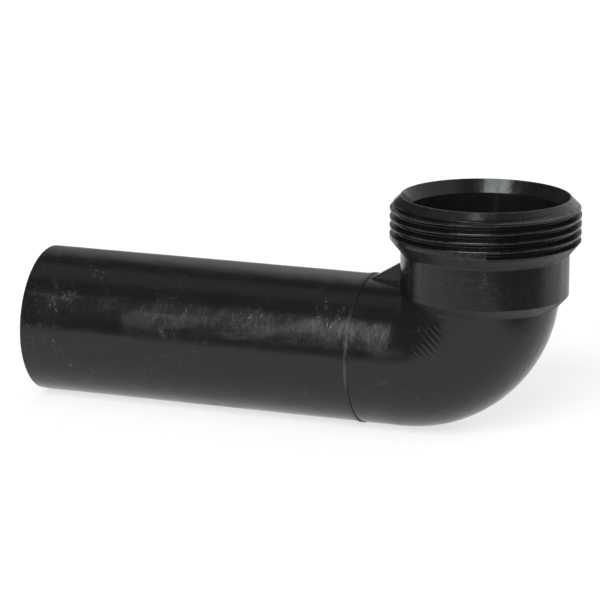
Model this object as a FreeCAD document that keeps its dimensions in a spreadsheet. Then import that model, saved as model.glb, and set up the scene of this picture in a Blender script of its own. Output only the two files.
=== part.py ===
"""Outlet elbow of a 1 1/2 inch tubular P-trap, in millimetres.

The origin is the centre of the inlet rim. +Z points out of the inlet, and the spigot runs along -X.
Every sub-part is a PartDesign body whose sizes are bound to the sheet Sizes.
"""
import FreeCAD, Part
import os

import Sketcher

SHEET_ROWS = [
    ("tube_od", 38.1, "outside diameter of the spigot, the bend and the inlet leg"),
    ("wall", 1.85, "wall of the spigot, the bend and the inlet leg"),
    ("spigot_reach", 120.3, "inlet axis to the spigot's end face"),
    ("throat_radius", 0.45, "radius left at the inner corner of the bend"),
    ("leg_length", 2.5, "straight leg above the bend, up to the socket's stop"),
    ("end_round", 0.4, "round on the spigot's outer end edge"),
    ("end_break", 0.3, "chamfer on the spigot's inner end edge"),
    ("lap_length", 5.0, "length of the rebated lap between spigot and bend"),
    ("bead_width", 0.8, "width of the raised line beside the lap's seam"),
    ("bead_height", 0.25, "height of the raised line beside the lap's seam"),
    ("seam_margin", 1.8, "seam to the web's foot"),
    ("web_thickness", 6.0, "thickness of the web in the inner corner"),
    ("web_height", 4.65, "height of the web on the collar, above the spigot's top"),
    ("web_reach", 7.7, "length of the web on the spigot, out from the collar"),
    ("socket_depth", 20.0, "rim to the socket's stop"),
    ("socket_clearance", 0.25, "gap all round between the socket and a tube of tube_od"),
    ("collar_wall", 1.9, "wall of the smooth part of the collar"),
    ("skirt_length", 4.7, "smooth collar below the socket's stop"),
    ("shoulder_slope", 1.1, "fall of the collar's shoulder for each millimetre inwards"),
    ("seat_depth", 3.3, "depth of the conical washer seat"),
    ("seat_flare", 1.75, "widening of the washer seat on each side"),
    ("lip_width", 0.25, "flat rim between the washer seat and the lead chamfer"),
    ("thread_projection", 2.8, "thread crest above the smooth collar"),
    ("thread_length", 10.8, "rim to the lower end of the full crest"),
    ("thread_pitch", 2.209, "pitch, 11.5 turns to the inch, right-handed"),
    ("thread_depth", 1.3, "depth of the thread groove"),
    ("thread_root", 0.2, "flat floor of the groove"),
    ("thread_flank", 30.0, "angle of each flank from the radial plane, in degrees"),
    ("groove_margin", 0.3, "middle of the groove, where it starts, above the crest's lower end"),
    ("groove_turn", 72.0, "angle of the groove's start, from +X towards -Y, in degrees"),
    ("runout_drop", 3.45, "height of the cone below the thread"),
    ("runout_round", 0.8, "round where the cone meets the smooth collar"),
    ("shoulder_round", 0.3, "round on the upper edge of the shoulder"),
]
BOUND_SETTINGS = ("Length", "Pitch", "Height")
QUARTER_TURN = 90
FULL_TURN = 360
SAME_PLACE = 1e-4

document = FreeCAD.newDocument("slip_joint_elbow")
sizes = document.addObject("Spreadsheet::Sheet", "Sizes")
for row, (alias, number, note) in enumerate(SHEET_ROWS, start=1):
    sizes.set(f"A{row}", note)
    sizes.set(f"B{row}", str(number))
    sizes.setAlias(f"B{row}", alias)
document.recompute()

# Radii and lengths worked out from the sheet, as expressions.
tube_radius = "Sizes.tube_od / 2"
bore_radius = f"{tube_radius} - Sizes.wall"
lap_radius = f"{tube_radius} - Sizes.wall / 2"
bead_radius = f"{tube_radius} + Sizes.bead_height"
bend_radius = f"{tube_radius} + Sizes.throat_radius"
socket_radius = f"{tube_radius} + Sizes.socket_clearance"
collar_radius = f"{socket_radius} + Sizes.collar_wall"
crest_radius = f"{collar_radius} + Sizes.thread_projection"
mouth_radius = f"{socket_radius} + Sizes.seat_flare"
lip_radius = f"{mouth_radius} + Sizes.lip_width"
bend_drop = "Sizes.socket_depth + Sizes.leg_length"
inlet_rise = f"{bend_drop} + {bend_radius}"
seam_reach = f"{collar_radius} + Sizes.web_reach + Sizes.seam_margin"
skirt_drop = "Sizes.socket_depth + Sizes.skirt_length"
shoulder_inset = "(Sizes.collar_wall + Sizes.socket_clearance + Sizes.wall)"
shoulder_drop = f"{skirt_drop} + Sizes.shoulder_slope * {shoulder_inset}"


def value(expression):
    """The number that an expression over the sheet gives."""
    result = sizes.evalExpression(expression)
    return getattr(result, "Value", result)


def new_body(label, along="0", above="0"):
    """An empty body whose own origin lies at (along, 0, above)."""
    body = document.addObject("PartDesign::Body", label)
    body.Label = label
    body.setExpression("Placement.Base.x", along)
    body.setExpression("Placement.Base.z", above)
    return body


def origin_feature(body, role):
    """One of the body's own origin planes or axes."""
    return next(item for item in body.Origin.OriginFeatures if item.Role == role)


def new_sketch(body, name, plane, offset="0"):
    """A sketch on an origin plane, moved along the plane's normal."""
    sketch = body.newObject("Sketcher::SketchObject", name)
    sketch.AttachmentSupport = [(origin_feature(body, plane), "")]
    sketch.MapMode = "FlatFace"
    sketch.setExpression("AttachmentOffset.Base.z", offset)
    return sketch


def bind_point(sketch, curve, point, along, across):
    """Hold one point of a curve at two coordinates, each bound to an expression."""
    for kind, expression in (("DistanceX", along), ("DistanceY", across)):
        constraint = Sketcher.Constraint(kind, -1, 1, curve, point, value(expression))
        index = sketch.addConstraint(constraint)
        sketch.setExpression(f"Constraints[{index}]", expression)


def add_outline(sketch, corners):
    """A closed run of straight lines through the corners."""
    points = [FreeCAD.Vector(value(along), value(across), 0) for along, across in corners]
    ends = points[1:] + points[:1]
    for start, end in zip(points, ends):
        sketch.addGeometry(Part.LineSegment(start, end))
    for line, (along, across) in enumerate(corners):
        following = (line + 1) % len(corners)
        sketch.addConstraint(Sketcher.Constraint("Coincident", line, 2, following, 1))
        bind_point(sketch, line, 1, along, across)


def add_circle(sketch, radius, along="0", across="0"):
    """A circle whose centre and radius are bound to expressions."""
    centre = FreeCAD.Vector(value(along), value(across), 0)
    curve = sketch.addGeometry(Part.Circle(centre, FreeCAD.Vector(0, 0, 1), value(radius)))
    index = sketch.addConstraint(Sketcher.Constraint("Radius", curve, value(radius)))
    sketch.setExpression(f"Constraints[{index}]", radius)
    bind_point(sketch, curve, 3, along, across)


def add_feature(body, kind, name, sketch, **settings):
    """A sketch-based feature at the body's tip, with its lengths bound to expressions."""
    feature = body.newObject(f"PartDesign::{kind}", name)
    feature.Profile = sketch
    for setting, content in settings.items():
        if setting in BOUND_SETTINGS:
            feature.setExpression(setting, content)
        else:
            setattr(feature, setting, content)
    document.recompute()
    return feature


def add_cut(body, kind, name, sketch, **settings):
    """A sketch-based cut, refused when it takes nothing away."""
    before = body.Shape.Volume
    feature = add_feature(body, kind, name, sketch, **settings)
    if before - feature.Shape.Volume < SAME_PLACE:
        raise RuntimeError(f"{name} cuts nothing")
    return feature


def ring_edge(body, axis, radius, position):
    """Names of the body's whole circular edges of one radius at one place along an origin axis."""
    names = []
    for number, edge in enumerate(body.Tip.Shape.Edges, start=1):
        curve = edge.Curve
        if not isinstance(curve, Part.Circle):
            continue
        same_size = abs(curve.Radius - value(radius)) < SAME_PLACE
        same_level = abs(getattr(curve.Center, axis) - value(position)) < SAME_PLACE
        if same_size and same_level:
            names.append(f"Edge{number}")
    if not names:
        raise RuntimeError(f"no edge of radius {radius} at {axis} = {position}")
    return names


def dress_edge(body, kind, name, setting, expression, edges):
    """A Fillet or Chamfer on named edges of the body's tip."""
    base = body.Tip
    feature = body.newObject(f"PartDesign::{kind}", name)
    feature.Base = (base, edges)
    feature.setExpression(setting, expression)
    document.recompute()
    return feature


def make_outlet_tube():
    """Long plain spigot; a tongue at its inner end lies inside the bend's rebate."""
    body = new_body("outlet_tube", above=f"-({inlet_rise})")
    profile = new_sketch(body, "tube_profile", "XZ_Plane")
    add_outline(profile, [
        ("-Sizes.spigot_reach", bore_radius),
        ("-Sizes.spigot_reach", tube_radius),
        (f"-({seam_reach})", tube_radius),
        (f"-({seam_reach})", lap_radius),
        (f"Sizes.lap_length - ({seam_reach})", lap_radius),
        (f"Sizes.lap_length - ({seam_reach})", bore_radius),
    ])
    add_feature(body, "Revolution", "tube_turned", profile,
                ReferenceAxis=(profile, ["H_Axis"]), Angle=FULL_TURN)
    outer_edge = ring_edge(body, "x", tube_radius, "-Sizes.spigot_reach")
    dress_edge(body, "Fillet", "end_round", "Radius", "Sizes.end_round", outer_edge)
    inner_edge = ring_edge(body, "x", bore_radius, "-Sizes.spigot_reach")
    dress_edge(body, "Chamfer", "end_break", "Size", "Sizes.end_break", inner_edge)
    return body


def make_elbow_bend():
    """Stub with the rebate, quarter bend, inlet leg and web; its origin is the bend's centre."""
    body = new_body("elbow_bend", along=f"-({bend_radius})", above=f"-({bend_drop})")
    make_web(body)
    stub_length = f"{seam_reach} - ({bend_radius})"
    tube_axis = f"-({bend_radius})"

    plain_stub = new_sketch(body, "stub_section", "YZ_Plane")
    add_circle(plain_stub, tube_radius, across=tube_axis)
    add_circle(plain_stub, bore_radius, across=tube_axis)
    add_feature(body, "Pad", "plain_stub", plain_stub, Reversed=True,
                Length=f"{stub_length} - Sizes.lap_length")

    rebate = new_sketch(body, "rebate_section", "YZ_Plane", offset=f"-({stub_length})")
    add_circle(rebate, tube_radius, across=tube_axis)
    add_circle(rebate, lap_radius, across=tube_axis)
    add_feature(body, "Pad", "rebated_mouth", rebate, Length="Sizes.lap_length")

    bead = new_sketch(body, "bead_section", "YZ_Plane", offset=f"-({stub_length})")
    add_circle(bead, bead_radius, across=tube_axis)
    add_circle(bead, lap_radius, across=tube_axis)
    add_feature(body, "Pad", "seam_bead", bead, Length="Sizes.bead_width")

    bend = new_sketch(body, "bend_section", "YZ_Plane")
    add_circle(bend, tube_radius, across=tube_axis)
    add_circle(bend, bore_radius, across=tube_axis)
    add_feature(body, "Revolution", "quarter_bend", bend, Reversed=True,
                ReferenceAxis=(origin_feature(body, "Y_Axis"), [""]), Angle=QUARTER_TURN)

    leg = new_sketch(body, "leg_section", "XY_Plane")
    add_circle(leg, tube_radius, along=bend_radius)
    add_circle(leg, bore_radius, along=bend_radius)
    add_feature(body, "Pad", "inlet_leg", leg, Length="Sizes.leg_length")
    return body


def make_web(body):
    """Triangular web in the inner corner, rooted in the stub's wall and ending on the collar."""
    slope = "(Sizes.web_height / Sizes.web_reach)"
    root = "Sizes.wall / 4"
    foot = f"Sizes.throat_radius - Sizes.socket_clearance - Sizes.collar_wall - Sizes.web_reach"
    outline = new_sketch(body, "web_outline", "XZ_Plane")
    tip = f"{foot} - {root} / {slope}"
    level = f"-Sizes.throat_radius - {root}"
    inner_end = "Sizes.throat_radius - Sizes.socket_clearance"
    top = f"-Sizes.throat_radius + {slope} * (Sizes.web_reach + Sizes.collar_wall)"
    add_outline(outline, [(tip, level), (inner_end, level), (inner_end, top)])
    add_feature(body, "Pad", "web_plate", outline, SideType="Symmetric", Length="Sizes.web_thickness")
    collar_wall = new_sketch(body, "collar_outside", "XY_Plane")
    add_circle(collar_wall, collar_radius, along=bend_radius)
    add_cut(body, "Pocket", "web_trim", collar_wall, Type="ThroughAll", SideType="Symmetric")


def make_threaded_collar():
    """Stepped collar over the inlet leg: shoulder, smooth wall, run-out cone, thread, seat and socket."""
    body = new_body("collar_blank")
    profile = new_sketch(body, "collar_profile", "XZ_Plane")
    add_outline(profile, [
        (mouth_radius, "0"),
        (lip_radius, "0"),
        (crest_radius, f"{lip_radius} - ({crest_radius})"),
        (crest_radius, "-Sizes.thread_length"),
        (collar_radius, "-Sizes.thread_length - Sizes.runout_drop"),
        (collar_radius, f"-({skirt_drop})"),
        (bore_radius, f"-({shoulder_drop})"),
        (bore_radius, "-Sizes.socket_depth"),
        (socket_radius, "-Sizes.socket_depth"),
        (socket_radius, "-Sizes.seat_depth"),
    ])
    add_feature(body, "Revolution", "collar_turned", profile,
                ReferenceAxis=(profile, ["V_Axis"]), Angle=FULL_TURN)
    cut_saddle(body)
    shoulder_edge = ring_edge(body, "z", collar_radius, f"-({skirt_drop})")
    dress_edge(body, "Fillet", "shoulder_round", "Radius", "Sizes.shoulder_round", shoulder_edge)
    cone_edge = ring_edge(body, "z", collar_radius, "-Sizes.thread_length - Sizes.runout_drop")
    dress_edge(body, "Fillet", "runout_round", "Radius", "Sizes.runout_round", cone_edge)
    return cut_thread(body)


def cut_saddle(body):
    """Take the leg, the bend and the spigot out of the collar, so that it sits on them face to face."""
    leg = new_sketch(body, "leg_outside", "XY_Plane", offset="-Sizes.socket_depth")
    add_circle(leg, tube_radius)
    add_cut(body, "Pocket", "leg_hole", leg, Length="Sizes.leg_length")

    bend = new_sketch(body, "bend_outside", "XY_Plane", offset=f"-({bend_drop})")
    add_circle(bend, tube_radius)
    axis = bend.addGeometry(Part.LineSegment(
        FreeCAD.Vector(value(f"-({bend_radius})"), value(f"-({tube_radius})"), 0),
        FreeCAD.Vector(value(f"-({bend_radius})"), value(tube_radius), 0)), True)
    bind_point(bend, axis, 1, f"-({bend_radius})", f"-({tube_radius})")
    bind_point(bend, axis, 2, f"-({bend_radius})", tube_radius)
    add_cut(body, "Groove", "bend_hole", bend, ReferenceAxis=(bend, ["Axis0"]), Angle=QUARTER_TURN)

    spigot = new_sketch(body, "spigot_outside", "YZ_Plane", offset=f"-({bend_radius})")
    add_circle(spigot, tube_radius, across=f"-({inlet_rise})")
    add_cut(body, "Pocket", "spigot_hole", spigot, Type="ThroughAll")


def cut_thread(blank):
    """Helical groove with flat flanks, from its abrupt start up through the lead chamfer."""
    start = "Sizes.groove_margin - Sizes.thread_length"
    floor_half = "Sizes.thread_root / 2"
    overcut = floor_half
    mouth_half = f"{floor_half} + (Sizes.thread_depth + {overcut}) * tan(Sizes.thread_flank * 1 deg)"
    inner = f"{crest_radius} - Sizes.thread_depth"
    outer = f"{crest_radius} + {overcut}"
    section = document.addObject("Sketcher::SketchObject", "groove_section")
    section.Placement.Rotation = FreeCAD.Rotation(FreeCAD.Vector(1, 0, 0), QUARTER_TURN)
    add_outline(section, [
        (inner, f"-({floor_half})"),
        (outer, f"-({mouth_half})"),
        (outer, mouth_half),
        (inner, floor_half),
    ])
    path = document.addObject("Part::Helix", "groove_path")
    path.setExpression("Radius", crest_radius)
    path.setExpression("Pitch", "Sizes.thread_pitch")
    path.setExpression("Height", f"Sizes.thread_pitch - ({start})")

    groove = document.addObject("Part::Sweep", "thread_groove")
    groove.Sections = [section]
    groove.Spine = (path, ["Edge1"])
    groove.Solid = True
    groove.Frenet = True
    groove.Placement.Rotation = FreeCAD.Rotation(FreeCAD.Vector(0, 0, -1), value("Sizes.groove_turn"))
    groove.setExpression("Placement.Rotation.Angle", "Sizes.groove_turn * 1 deg")
    groove.setExpression("Placement.Base.z", start)

    collar = document.addObject("Part::Cut", "threaded_inlet_collar")
    collar.Label = "threaded_inlet_collar"
    collar.Base = blank
    collar.Tool = groove
    document.recompute()
    if blank.Shape.Volume - collar.Shape.Volume < SAME_PLACE:
        raise RuntimeError("the thread's groove cuts nothing")
    return collar


def check_and_export(bodies):
    """Refuse a failed feature or a broken solid, then write one STEP file for each body."""
    failed = [item.Name for item in document.Objects if {"Invalid", "Error"} & set(item.State)]
    if failed:
        raise RuntimeError(f"features failed: {failed}")
    os.makedirs("parts", exist_ok=True)
    for body in bodies:
        shape = body.Shape
        if shape.isNull() or not shape.isValid() or len(shape.Solids) != 1:
            raise RuntimeError(f"{body.Label} is not one valid solid")
        shape.exportStep(f"parts/{body.Label}.step")
        box = shape.BoundBox
        print(f"{body.Label}: {shape.Volume:.1f} mm3, "
              f"x {box.XMin:.2f}..{box.XMax:.2f}, y {box.YMin:.2f}..{box.YMax:.2f}, "
              f"z {box.ZMin:.2f}..{box.ZMax:.2f}")


pieces = [make_outlet_tube(), make_elbow_bend(), make_threaded_collar()]
document.recompute()
check_and_export(pieces)
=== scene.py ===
import math

import bpy
from bpy.props import FloatProperty, FloatVectorProperty, PointerProperty
from mathutils import Matrix, Vector


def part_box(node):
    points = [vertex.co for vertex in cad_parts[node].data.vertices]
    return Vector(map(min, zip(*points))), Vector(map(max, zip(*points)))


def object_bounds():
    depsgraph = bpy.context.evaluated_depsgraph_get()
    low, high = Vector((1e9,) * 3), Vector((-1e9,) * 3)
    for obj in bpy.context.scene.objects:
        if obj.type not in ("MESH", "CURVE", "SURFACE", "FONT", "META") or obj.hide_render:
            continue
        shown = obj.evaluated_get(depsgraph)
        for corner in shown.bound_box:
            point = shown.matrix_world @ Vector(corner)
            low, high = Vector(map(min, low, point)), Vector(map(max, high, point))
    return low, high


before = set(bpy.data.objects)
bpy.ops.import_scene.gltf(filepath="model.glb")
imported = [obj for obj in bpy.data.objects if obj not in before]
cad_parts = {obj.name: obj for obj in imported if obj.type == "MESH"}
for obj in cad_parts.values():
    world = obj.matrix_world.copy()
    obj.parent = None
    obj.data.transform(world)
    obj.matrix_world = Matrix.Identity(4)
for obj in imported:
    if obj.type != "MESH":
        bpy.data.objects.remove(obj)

bl_info = {
    "name": "Slip-joint Drain Elbow",
    "version": (1, 0, 0),
    "blender": (4, 5, 0),
    "location": "3D View > Sidebar > Drain Elbow",
    "description": "Moulded finish and studio for a black tubular drain elbow",
    "category": "Object",
}

CAD_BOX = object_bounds()
TUBE, BEND, COLLAR = "outlet_tube", "elbow_bend", "threaded_inlet_collar"
TUBE_BOX, BEND_BOX, COLLAR_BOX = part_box(TUBE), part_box(BEND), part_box(COLLAR)
TUBE_RADIUS = (TUBE_BOX[1].z - TUBE_BOX[0].z) / 2
TUBE_LEVEL = (TUBE_BOX[1].z + TUBE_BOX[0].z) / 2
MM = 0.001

# The groove's pitch, the height of its start, and that start's angle from +X towards -Y.
THREAD_PITCH = 2.209 * MM
THREAD_START = -10.5 * MM
THREAD_START_TURN = 72.0

# Patterns per metre, and each pattern's height in units of relief.
CLOUD_SCALE, RIPPLE_SCALE, PEBBLE_SCALE = 70.0, 130.0, 620.0
GRAIN_SCALE, SPECK_SCALE = 2200.0, 480.0
RIPPLE_RELIEF, PEBBLE_RELIEF, GRAIN_RELIEF = 12.0, 2.2, 0.6
FROST_RELIEF, SPECK_RELIEF, SCRATCH_RELIEF, CROWN_RELIEF = 3.0, 4.0, -1.5, -24.0
RELIEF_UNIT = 0.01 * MM
LEAST_ROUGHNESS = 0.06

# Each set of scratches: its turn in degrees, and its pattern's scale along and across it.
SCRATCH_SETS = ((8, 60, 1100), (-38, 110, 1300), (84, 140, 1200))

# The room's light, and the window's tint and its edges in degrees round and above the elbow.
ROOM_LIGHT, HIGH_LIGHT, SHEEN_LIGHT = 0.10, 0.38, 3.6
SIDE_LIGHT, WALL_LIGHT = (0.80, 0.80, 0.83, 1.0), (1.18, 1.12, 1.05, 1.0)
PANE_TINT = (0.93, 1.0, 0.99)
WINDOW_LEFT, WINDOW_CORNER, WINDOW_LEAN = -16.7, 16.0, 0.34
WINDOW_RIGHT, WINDOW_FOOT, WINDOW_HEAD = (10, 30), (4, 13), (44, 56)

# Where the floor's two areas of painted shade start and are at their darkest, and the right one's
# slant.
FRONT_SHADE_LINE, RIGHT_SHADE_LINE, RIGHT_SHADE_FROM, RIGHT_SHADE_SLANT = (0.152, 0.18), (0.036, 0.07), (0.0, 0.08), 0.0888


class Value:
    """One output socket; arithmetic on it adds Math nodes to its tree."""

    def __init__(self, tree, socket):
        self.tree, self.socket = tree, socket

    def math(self, operation, *others):
        """The result of a Math node on this value and the others."""
        return self.tree.add("ShaderNodeMath", {"operation": operation}, {
            place: item for place, item in enumerate((self, *others))})

    def __add__(self, other):
        return self.math("ADD", other)

    def __sub__(self, other):
        return self.math("SUBTRACT", other)

    def __rsub__(self, other):
        return self.math("MULTIPLY_ADD", -1.0, other)

    def __mul__(self, other):
        return self.math("MULTIPLY", other)

    def __truediv__(self, other):
        return self.math("DIVIDE", other)

    def __abs__(self):
        return self.math("ABSOLUTE")

    __radd__ = __add__
    __rmul__ = __mul__


class Tree:
    """A shader node tree, with one method that adds any node."""

    def __init__(self, owner):
        owner.use_nodes = True
        self.nodes, self.links = owner.node_tree.nodes, owner.node_tree.links
        self.nodes.clear()

    def add(self, kind, settings=None, inputs=None, output=0):
        """A node of one kind with its settings, then its sockets' values or links."""
        node = self.nodes.new(kind)
        for name, content in (settings or {}).items():
            setattr(node, name, content)
        for name, content in (inputs or {}).items():
            if isinstance(content, Value):
                self.links.new(content.socket, node.inputs[name])
            else:
                node.inputs[name].default_value = content
        return Value(self, node.outputs[output]) if node.outputs else node

    def step(self, source, low, high, first=0.0, last=1.0):
        """A smooth change from first to last as source goes from low to high."""
        return self.add("ShaderNodeMapRange", {"interpolation_type": "SMOOTHSTEP"}, {
            "Value": source, "From Min": low, "From Max": high, "To Min": first, "To Max": last})

    def band(self, source, low, high, soft):
        """1 between low and high, falling to 0 over soft on either side."""
        return self.step(source, low - soft, low) * self.step(source, high, high + soft, 1.0, 0.0)

    def noise(self, place, scale, detail=2.0, roughness=0.5):
        """A cloudy pattern of so many clouds to the metre."""
        return self.add("ShaderNodeTexNoise", None, {
            "Vector": place, "Scale": scale, "Detail": detail, "Roughness": roughness})

    def turned(self, place, scale, angles=(0.0, 0.0, 0.0), shift=(0.0, 0.0, 0.0)):
        """Coordinates shifted, turned and stretched for a pattern."""
        return self.add("ShaderNodeMapping", None, {
            "Vector": place, "Location": shift, "Scale": scale,
            "Rotation": [math.radians(angle) for angle in angles]})

    def mix(self, factor, first, second):
        """A colour between two colours."""
        return self.add("ShaderNodeMix", {"data_type": "RGBA"}, {
            0: factor, 6: first, 7: second}, output=2)

    def vector(self, along, across):
        """A vector from two lengths on an unrolled surface."""
        return self.add("ShaderNodeCombineXYZ", None, {0: along, 1: across})

    def parts(self, place):
        """The three components of a vector."""
        split = self.add("ShaderNodeSeparateXYZ", None, {"Vector": place})
        return [Value(self, socket) for socket in split.socket.node.outputs]


def grey(level):
    """An opaque grey colour."""
    return (level, level, level, 1.0)


class ElbowFinish(bpy.types.PropertyGroup):
    """The moulded plastic's colour, gloss and marks."""
    colour: FloatVectorProperty(
        name="Plastic colour", description="Body colour of the black plastic",
        subtype="COLOR", size=4, min=0, max=1, default=(0.0052, 0.0050, 0.0054, 1.0))
    # Also the colour of the painted highlight along the collar's top edge.
    dust_and_highlight_colour: FloatVectorProperty(
        name="Scuff colour", description="Colour of dust, scuffs and scratches",
        subtype="COLOR", size=4, min=0, max=1, default=(0.075, 0.077, 0.078, 1.0))
    gloss: FloatProperty(
        name="Roughness", description="Roughness of the smooth moulded skin",
        subtype="FACTOR", min=0, max=1, default=0.17)
    index: FloatProperty(
        name="Index of refraction", description="Index of refraction of the skin",
        min=1, max=2, default=1.40)
    scratches: FloatProperty(
        name="Scratches", description="How clearly the fine scratches show",
        subtype="FACTOR", min=0, max=1, default=0.15)


class ElbowStudio(bpy.types.PropertyGroup):
    """The floor, the light around the elbow and the camera."""
    floor_width: FloatProperty(
        name="Floor width", description="Width of the round floor",
        unit="LENGTH", subtype="DISTANCE", min=0, default=9.0)
    floor_colour: FloatVectorProperty(
        name="Floor colour", description="Colour of the pale floor",
        subtype="COLOR", size=4, min=0, max=1, default=(0.42, 0.42, 0.425, 1.0))
    floor_glow: FloatProperty(
        name="Floor glow", description="Light that the translucent floor gives by itself",
        min=0, default=0.67)
    # Painted shade: how dark the floor is painted towards the camera and on its right.
    front_painted_shade: FloatProperty(
        name="Front dimming", description="How much the floor dims towards the camera; 0 is plain",
        subtype="FACTOR", min=0, max=1, default=0.70)
    right_painted_shade: FloatProperty(
        name="Right dimming", description="How much the floor dims on its right; 0 is plain",
        subtype="FACTOR", min=0, max=1, default=0.85)
    window: FloatProperty(
        name="Window strength", description="Brightness of the window in front of the elbow",
        min=0, default=9.0)
    distance: FloatProperty(
        name="Camera distance", description="Distance from the camera to its target",
        unit="LENGTH", subtype="DISTANCE", min=0, default=0.76608)
    azimuth: FloatProperty(
        name="Camera azimuth", description="Angle of the camera round the elbow, from the front",
        subtype="ANGLE", unit="ROTATION", default=math.radians(19.944))
    elevation: FloatProperty(
        name="Camera elevation", description="Angle of the camera above the floor",
        subtype="ANGLE", unit="ROTATION", default=math.radians(13.865))
    tilt: FloatProperty(
        name="Camera tilt", description="Turn of the camera about its own axis",
        subtype="ANGLE", unit="ROTATION", default=math.radians(0.311))
    lens: FloatProperty(
        name="Lens", description="Focal length of the camera in millimetres",
        min=1, default=179.424)
    shift: FloatVectorProperty(
        name="Lens shift", description="Shift of the lens across and upwards, in frame widths",
        size=2, default=(-0.05763, 0.01002))
    target: FloatVectorProperty(
        name="Camera target", description="Point that the camera is placed round",
        unit="LENGTH", subtype="TRANSLATION", size=3, default=(-0.040, 0, -0.032))


def skin(name, finish, zones):
    """The moulded black plastic: soft mottling, fine scratches, specks, scuffed edges and a
    painted highlight on the collar's top edge.

    zones(tree, place, x, y, z) gives the piece's unrolled coordinates, its own mask of scuffs and
    painted highlight, its change of roughness and its own relief in units of RELIEF_UNIT.
    """
    material = bpy.data.materials.new(name)
    tree = Tree(material)
    place = tree.add("ShaderNodeTexCoord", output=3)
    x, y, z = tree.parts(place)
    skin_place, scuff_and_highlight, rougher, relief = zones(tree, place, x, y, z)

    cloud = tree.noise(place, CLOUD_SCALE, 4.0, 0.6)
    ripple = tree.noise(place, RIPPLE_SCALE, 1.0)
    pebble = tree.noise(place, PEBBLE_SCALE, 2.0, 0.6)
    grain = tree.noise(place, GRAIN_SCALE, 1.0)

    lines = 0.0
    for turn, along, across in SCRATCH_SETS:
        hair = tree.noise(tree.turned(skin_place, (along, across, 0), (0, 0, turn)), 1.0, 0.0)
        patch = tree.noise(tree.turned(place, (85, 85, 85), (turn, 0, turn)), 1.0, 1.0)
        line = tree.band(hair, 0.494, 0.506, 0.012) * tree.step(patch, 0.60, 0.74)
        lines = line.math("MAXIMUM", lines)
    lines = lines * finish.scratches

    cells = tree.add("ShaderNodeTexVoronoi", {"feature": "F1"}, {
        "Vector": place, "Scale": SPECK_SCALE, "Randomness": 1.0})
    chosen = tree.parts(Value(tree, cells.socket.node.outputs["Color"]))[0]
    specks = tree.step(cells, 0.08, 0.22, 1.0, 0.0) * tree.step(chosen, 0.74, 0.80)
    specks = specks * tree.step(cloud, 0.50, 0.62)
    frost = tree.step(pebble, 0.56, 0.70) * tree.step(cloud, 0.46, 0.62)

    # The marks take the dust colour; on the collar they include the painted highlight along its
    # top edge.
    marks = (lines * 0.6 + specks * 0.5 + frost * 0.10 + scuff_and_highlight).math("MINIMUM", 1.0)
    body = tree.mix(cloud, finish.colour, [1.5 * part for part in finish.colour[:3]] + [1.0])
    colour = tree.mix(marks, body, finish.dust_and_highlight_colour)
    rough = finish.gloss + (cloud - 0.5) * 0.20 + (pebble - 0.5) * 0.08 + marks * 0.20 + rougher
    height = (ripple * RIPPLE_RELIEF + pebble * PEBBLE_RELIEF + frost * FROST_RELIEF
              + grain * GRAIN_RELIEF + specks * SPECK_RELIEF + lines * SCRATCH_RELIEF + relief)
    bump = tree.add("ShaderNodeBump", None, {
        "Strength": 1.0, "Distance": RELIEF_UNIT, "Height": height})
    shader = tree.add("ShaderNodeBsdfPrincipled", None, {
        "Base Color": colour, "Roughness": rough.math("MAXIMUM", LEAST_ROUGHNESS),
        "IOR": finish.index, "Normal": bump})
    tree.add("ShaderNodeOutputMaterial", None, {"Surface": shader})
    return material


def tube_zones(tree, place, x, y, z):
    """Scuffed end edge, handling marks near the end, and faint turning marks round the skin."""
    end = TUBE_BOX[0].x
    around = (z - TUBE_LEVEL).math("ARCTAN2", y) * TUBE_RADIUS
    chips = tree.noise(place, 1500.0, 2.0, 0.6)
    edge = tree.step(x, end, end + 0.6 * MM, 1.0, 0.0) * tree.step(chips, 0.45, 0.65) * 0.5
    handled = tree.step(x, end + 4 * MM, end + 12 * MM, 1.0, 0.0) * tree.step(chips, 0.60, 0.74)
    haze = tree.noise(tree.turned(place, (60, 180, 180)), 1.0, 3.0, 0.6)
    rings = tree.noise(tree.turned(place, (1500, 30, 30)), 1.0, 1.0)
    return (tree.vector(x, around), edge + handled * 0.30,
            tree.step(haze, 0.50, 0.70) * 0.10, rings * 0.25)


def bend_zones(tree, place, x, y, z):
    """Tool marks on the inner front of the bend, and a lighter line along the seam around mid
    height.
    """
    ribs = tree.add("ShaderNodeTexWave", {"wave_type": "BANDS", "bands_direction": "X"}, {
        "Vector": tree.turned(place, (1, 1, 1), (0, 50, 0)), "Scale": 215.0,
        "Distortion": 1.5, "Detail": 1.0})
    patch = (tree.band(x, -12.0 * MM, -7.0 * MM, 2.5 * MM)
             * tree.band(z, -36.5 * MM, -31.0 * MM, 2.5 * MM) * tree.step(y, -8 * MM, -12 * MM))
    seam = BEND_BOX[0].x
    haze = tree.noise(tree.turned(place, (110, 110, 110)), 1.0, 3.0, 0.6)
    blotch = tree.noise(place, 300.0, 3.0, 0.6) * tree.step(x, -13 * MM, -5 * MM)
    bead = tree.step(x, seam + 0.8 * MM, seam + 1.0 * MM, 1.0, 0.0)
    line = bead * tree.band(z, -46 * MM, -34 * MM, 4 * MM) * tree.step(haze, 0.35, 0.60)
    return (tree.vector(x - z, y + z), line * 0.35,
            tree.step(haze, 0.48, 0.70) * 0.10 + bead * 0.10, ribs * patch * 4.5 + blotch * 9.0)


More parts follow.
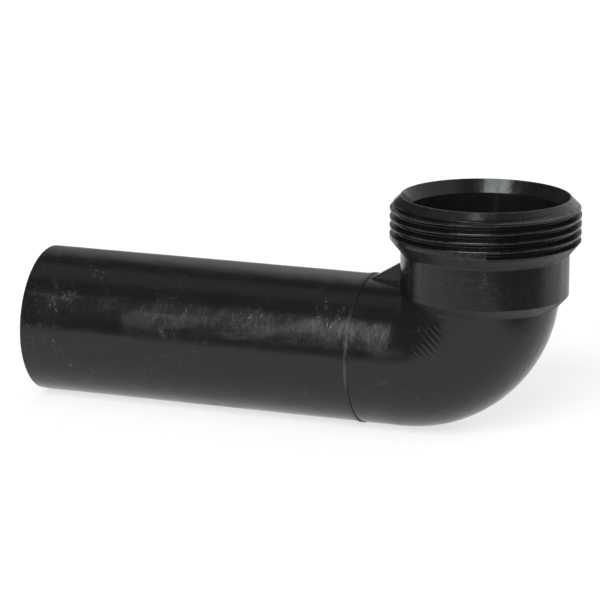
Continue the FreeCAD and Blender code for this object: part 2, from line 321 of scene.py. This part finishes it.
def collar_zones(tree, place, x, y, z):
    """Crests shaded as if rounded and rubbed, a painted highlight along the top edge, and flow
    marks down the wall.
    """
    crest = COLLAR_BOX[1].x
    out = (x * x + y * y).math("SQRT")
    turn = math.radians(THREAD_START_TURN)
    ahead = x * math.cos(turn) - y * math.sin(turn)
    aside = x * math.sin(turn) + y * math.cos(turn)
    angle = aside.math("ARCTAN2", ahead) / math.tau
    pitches = (z - THREAD_START) / THREAD_PITCH - angle.math("FRACT")
    crown = ((pitches * math.tau).math("COSINE") * CROWN_RELIEF
             * tree.step(pitches, -0.60, -0.50) * tree.step(z, -2.1 * MM, -1.9 * MM, 1.0, 0.0)
             * tree.step(out, 21.9 * MM, 22.3 * MM))
    rub = tree.noise(place, 700.0, 3.0, 0.6)
    worn = tree.step(out, crest - 0.25 * MM, crest - 0.02 * MM) * tree.step(rub, 0.42, 0.70)
    # Painted highlight: the collar's top 0.3 mm takes the light dust colour in place of the gleam
    # of a rounded edge, broken up by the rubbing noise.
    top_edge_highlight = tree.step(z, -0.35 * MM, -0.05 * MM) * tree.step(rub, 0.45, 0.65)
    flow = tree.noise(tree.turned(place, (260, 260, 22)), 1.0, 3.0, 0.6)
    cones = tree.band(z, -14.0 * MM, -11.2 * MM, 0.4 * MM).math("MAXIMUM", tree.step(
        z, -24.9 * MM, -24.5 * MM, 1.0, 0.0))
    blotch = tree.noise(place, 210.0, 3.0, 0.6)
    return (tree.vector(angle * (math.tau * crest), z), worn * 0.14 + top_edge_highlight * 0.20,
            tree.step(flow, 0.45, 0.70) * 0.16 + cones * 0.22 + 0.03,
            crown + flow * 4.0 + blotch * 10.0)


def dress_node(node, material):
    """Give a CAD node its finish."""
    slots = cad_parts[node].material_slots
    if not slots:
        raise RuntimeError(f"{node} has no material slot")
    for slot in slots:
        slot.material = material


class ELBOW_OT_finish_tube(bpy.types.Operator):
    """Give the long spigot its moulded skin."""
    bl_idname = "elbow.finish_tube"
    bl_label = "Finish outlet tube"

    def execute(self, context):
        dress_node(TUBE, skin("moulded_tube_skin", context.scene.elbow_finish, tube_zones))
        return {"FINISHED"}


class ELBOW_OT_finish_bend(bpy.types.Operator):
    """Give the bend and its web their moulded skin with tool marks."""
    bl_idname = "elbow.finish_bend"
    bl_label = "Finish bend and web"

    def execute(self, context):
        dress_node(BEND, skin("moulded_bend_skin", context.scene.elbow_finish, bend_zones))
        return {"FINISHED"}


class ELBOW_OT_finish_collar(bpy.types.Operator):
    """Give the threaded collar its skin with rubbed crests."""
    bl_idname = "elbow.finish_collar"
    bl_label = "Finish threaded collar"

    def execute(self, context):
        dress_node(COLLAR, skin("moulded_collar_skin", context.scene.elbow_finish, collar_zones))
        return {"FINISHED"}


def make_floor(studio):
    """A round pale floor, with two areas of painted shade laid out from the camera's azimuth.

    They lie towards the camera and on its right, so it isn't a plain floor unless both are 0.
    """
    bpy.ops.mesh.primitive_circle_add(vertices=96, radius=studio.floor_width / 2, fill_type="NGON")
    floor = bpy.context.object
    floor.name = "studio_floor"
    floor.data.transform(Matrix.Translation((0, 0, CAD_BOX[0].z)))
    material = bpy.data.materials.new("pale_floor")
    tree = Tree(material)
    place = tree.add("ShaderNodeTexCoord", output=3)
    x, y = tree.parts(place)[:2]
    nearer = x * math.sin(studio.azimuth) - y * math.cos(studio.azimuth)
    aside = x * math.cos(studio.azimuth) + y * math.sin(studio.azimuth) + nearer * RIGHT_SHADE_SLANT
    # Painted shade: the floor's colour and glow are darkened towards the camera and on its right.
    front = tree.step(nearer, *FRONT_SHADE_LINE) * studio.front_painted_shade
    right = tree.step(aside, *RIGHT_SHADE_LINE) * tree.step(nearer, *RIGHT_SHADE_FROM) * studio.right_painted_shade
    paper = tree.noise(place, 900.0, 3.0)
    lit = (1 - front.math("MAXIMUM", right)) * (0.985 + paper * 0.03)
    colour = tree.mix(lit, grey(0.0), studio.floor_colour)
    glow = tree.mix(lit, grey(0.0), grey(studio.floor_glow))
    shader = tree.add("ShaderNodeBsdfPrincipled", None, {
        "Base Color": colour, "Roughness": 0.9, "Specular IOR Level": 0.1,
        "Emission Color": glow, "Emission Strength": 1.0})
    tree.add("ShaderNodeOutputMaterial", None, {"Surface": shader})
    floor.data.materials.append(material)


def make_surroundings(studio):
    """A dark room with a pale wall behind, a brighter right side and one large soft window."""
    world = bpy.data.worlds.new("studio_room")
    bpy.context.scene.world = world
    tree = Tree(world)
    direction = tree.add("ShaderNodeTexCoord", output=0)
    x, y, z = tree.parts(direction)
    around = x.math("ARCTAN2", y * -1.0) * math.degrees(1)
    height = z.math("ARCSINE") * math.degrees(1)

    wall = (tree.step(abs(around), 141, 166) * tree.step(height, 50, 60, 1.0, 0.0)
            * tree.step(height, 2, 44, 0.25, 1.0))
    side = tree.step(around, 45, 80) * tree.step(height, 45, 70, 1.0, 0.25)
    high = tree.band(around, -115, -75, 20) * tree.step(height, 42, 58)
    sheen = tree.band(around, -26, -6, 14) * tree.band(height, 68, 80, 8)
    room = tree.mix(side, grey(ROOM_LIGHT), SIDE_LIGHT)
    room = tree.mix(high, room, grey(HIGH_LIGHT))
    room = tree.mix(wall, room, WALL_LIGHT)
    room = tree.mix(sheen, room, grey(SHEEN_LIGHT))

    left = WINDOW_LEFT - (height - WINDOW_CORNER).math("MAXIMUM", 0.0) * WINDOW_LEAN
    glass = (tree.step(around - left, -3.0, 3.0) * tree.step(around, *WINDOW_RIGHT, 1.0, 0.0)
             * tree.step(height, *WINDOW_FOOT) * tree.step(height, *WINDOW_HEAD, 1.0, 0.0))
    fade = tree.step(around - left, 0, 7, 0.32, 1.0)
    pane = [studio.window * part for part in PANE_TINT] + [1.0]
    colour = tree.mix(glass * fade, room, pane)
    surface = tree.add("ShaderNodeBackground", None, {"Color": colour, "Strength": 1.0})
    tree.add("ShaderNodeOutputWorld", None, {"Surface": surface})


def make_camera(studio):
    """The camera, a little above the elbow and turned towards the collar's side."""
    azimuth, elevation = studio.azimuth, studio.elevation
    back = Vector((math.sin(azimuth) * math.cos(elevation),
                   -math.cos(azimuth) * math.cos(elevation), math.sin(elevation)))
    right = Vector((math.cos(azimuth), math.sin(azimuth), 0))
    above = back.cross(right)
    across = right * math.cos(studio.tilt) + above * math.sin(studio.tilt)
    upward = above * math.cos(studio.tilt) - right * math.sin(studio.tilt)
    lens = bpy.data.cameras.new("studio_camera")
    lens.lens = studio.lens
    lens.shift_x, lens.shift_y = studio.shift
    camera = bpy.data.objects.new("studio_camera", lens)
    pose = Matrix((across, upward, back)).transposed().to_4x4()
    pose.translation = Vector(studio.target) + back * studio.distance
    camera.matrix_world = pose
    bpy.context.scene.collection.objects.link(camera)
    bpy.context.scene.camera = camera


class ELBOW_OT_set_stage(bpy.types.Operator):
    """Lay the floor, light the room and set up the camera."""
    bl_idname = "elbow.set_stage"
    bl_label = "Set stage"

    def execute(self, context):
        studio = context.scene.elbow_studio
        make_floor(studio)
        make_surroundings(studio)
        make_camera(studio)
        context.scene.view_settings.view_transform = "Standard"
        return {"FINISHED"}


class ELBOW_PT_panel(bpy.types.Panel):
    """The elbow's finish and studio settings, and its steps, in the sidebar."""
    bl_label = "Drain Elbow"
    bl_space_type = "VIEW_3D"
    bl_region_type = "UI"
    bl_category = "Drain Elbow"

    def draw(self, context):
        for group in (context.scene.elbow_finish, context.scene.elbow_studio):
            for name in group.__annotations__:
                self.layout.prop(group, name)
        for operator in OPERATORS:
            self.layout.operator(operator.bl_idname)


OPERATORS = (ELBOW_OT_finish_tube, ELBOW_OT_finish_bend, ELBOW_OT_finish_collar,
             ELBOW_OT_set_stage)
CLASSES = (ElbowFinish, ElbowStudio, *OPERATORS, ELBOW_PT_panel)


def register():
    for item in CLASSES:
        bpy.utils.register_class(item)
    bpy.types.Scene.elbow_finish = PointerProperty(type=ElbowFinish)
    bpy.types.Scene.elbow_studio = PointerProperty(type=ElbowStudio)


def unregister():
    del bpy.types.Scene.elbow_studio
    del bpy.types.Scene.elbow_finish
    for item in reversed(CLASSES):
        bpy.utils.unregister_class(item)


def main():
    register()
    bpy.ops.elbow.finish_tube()
    bpy.ops.elbow.finish_bend()
    bpy.ops.elbow.finish_collar()
    bpy.ops.elbow.set_stage()


if __name__ == "__main__":
    main()
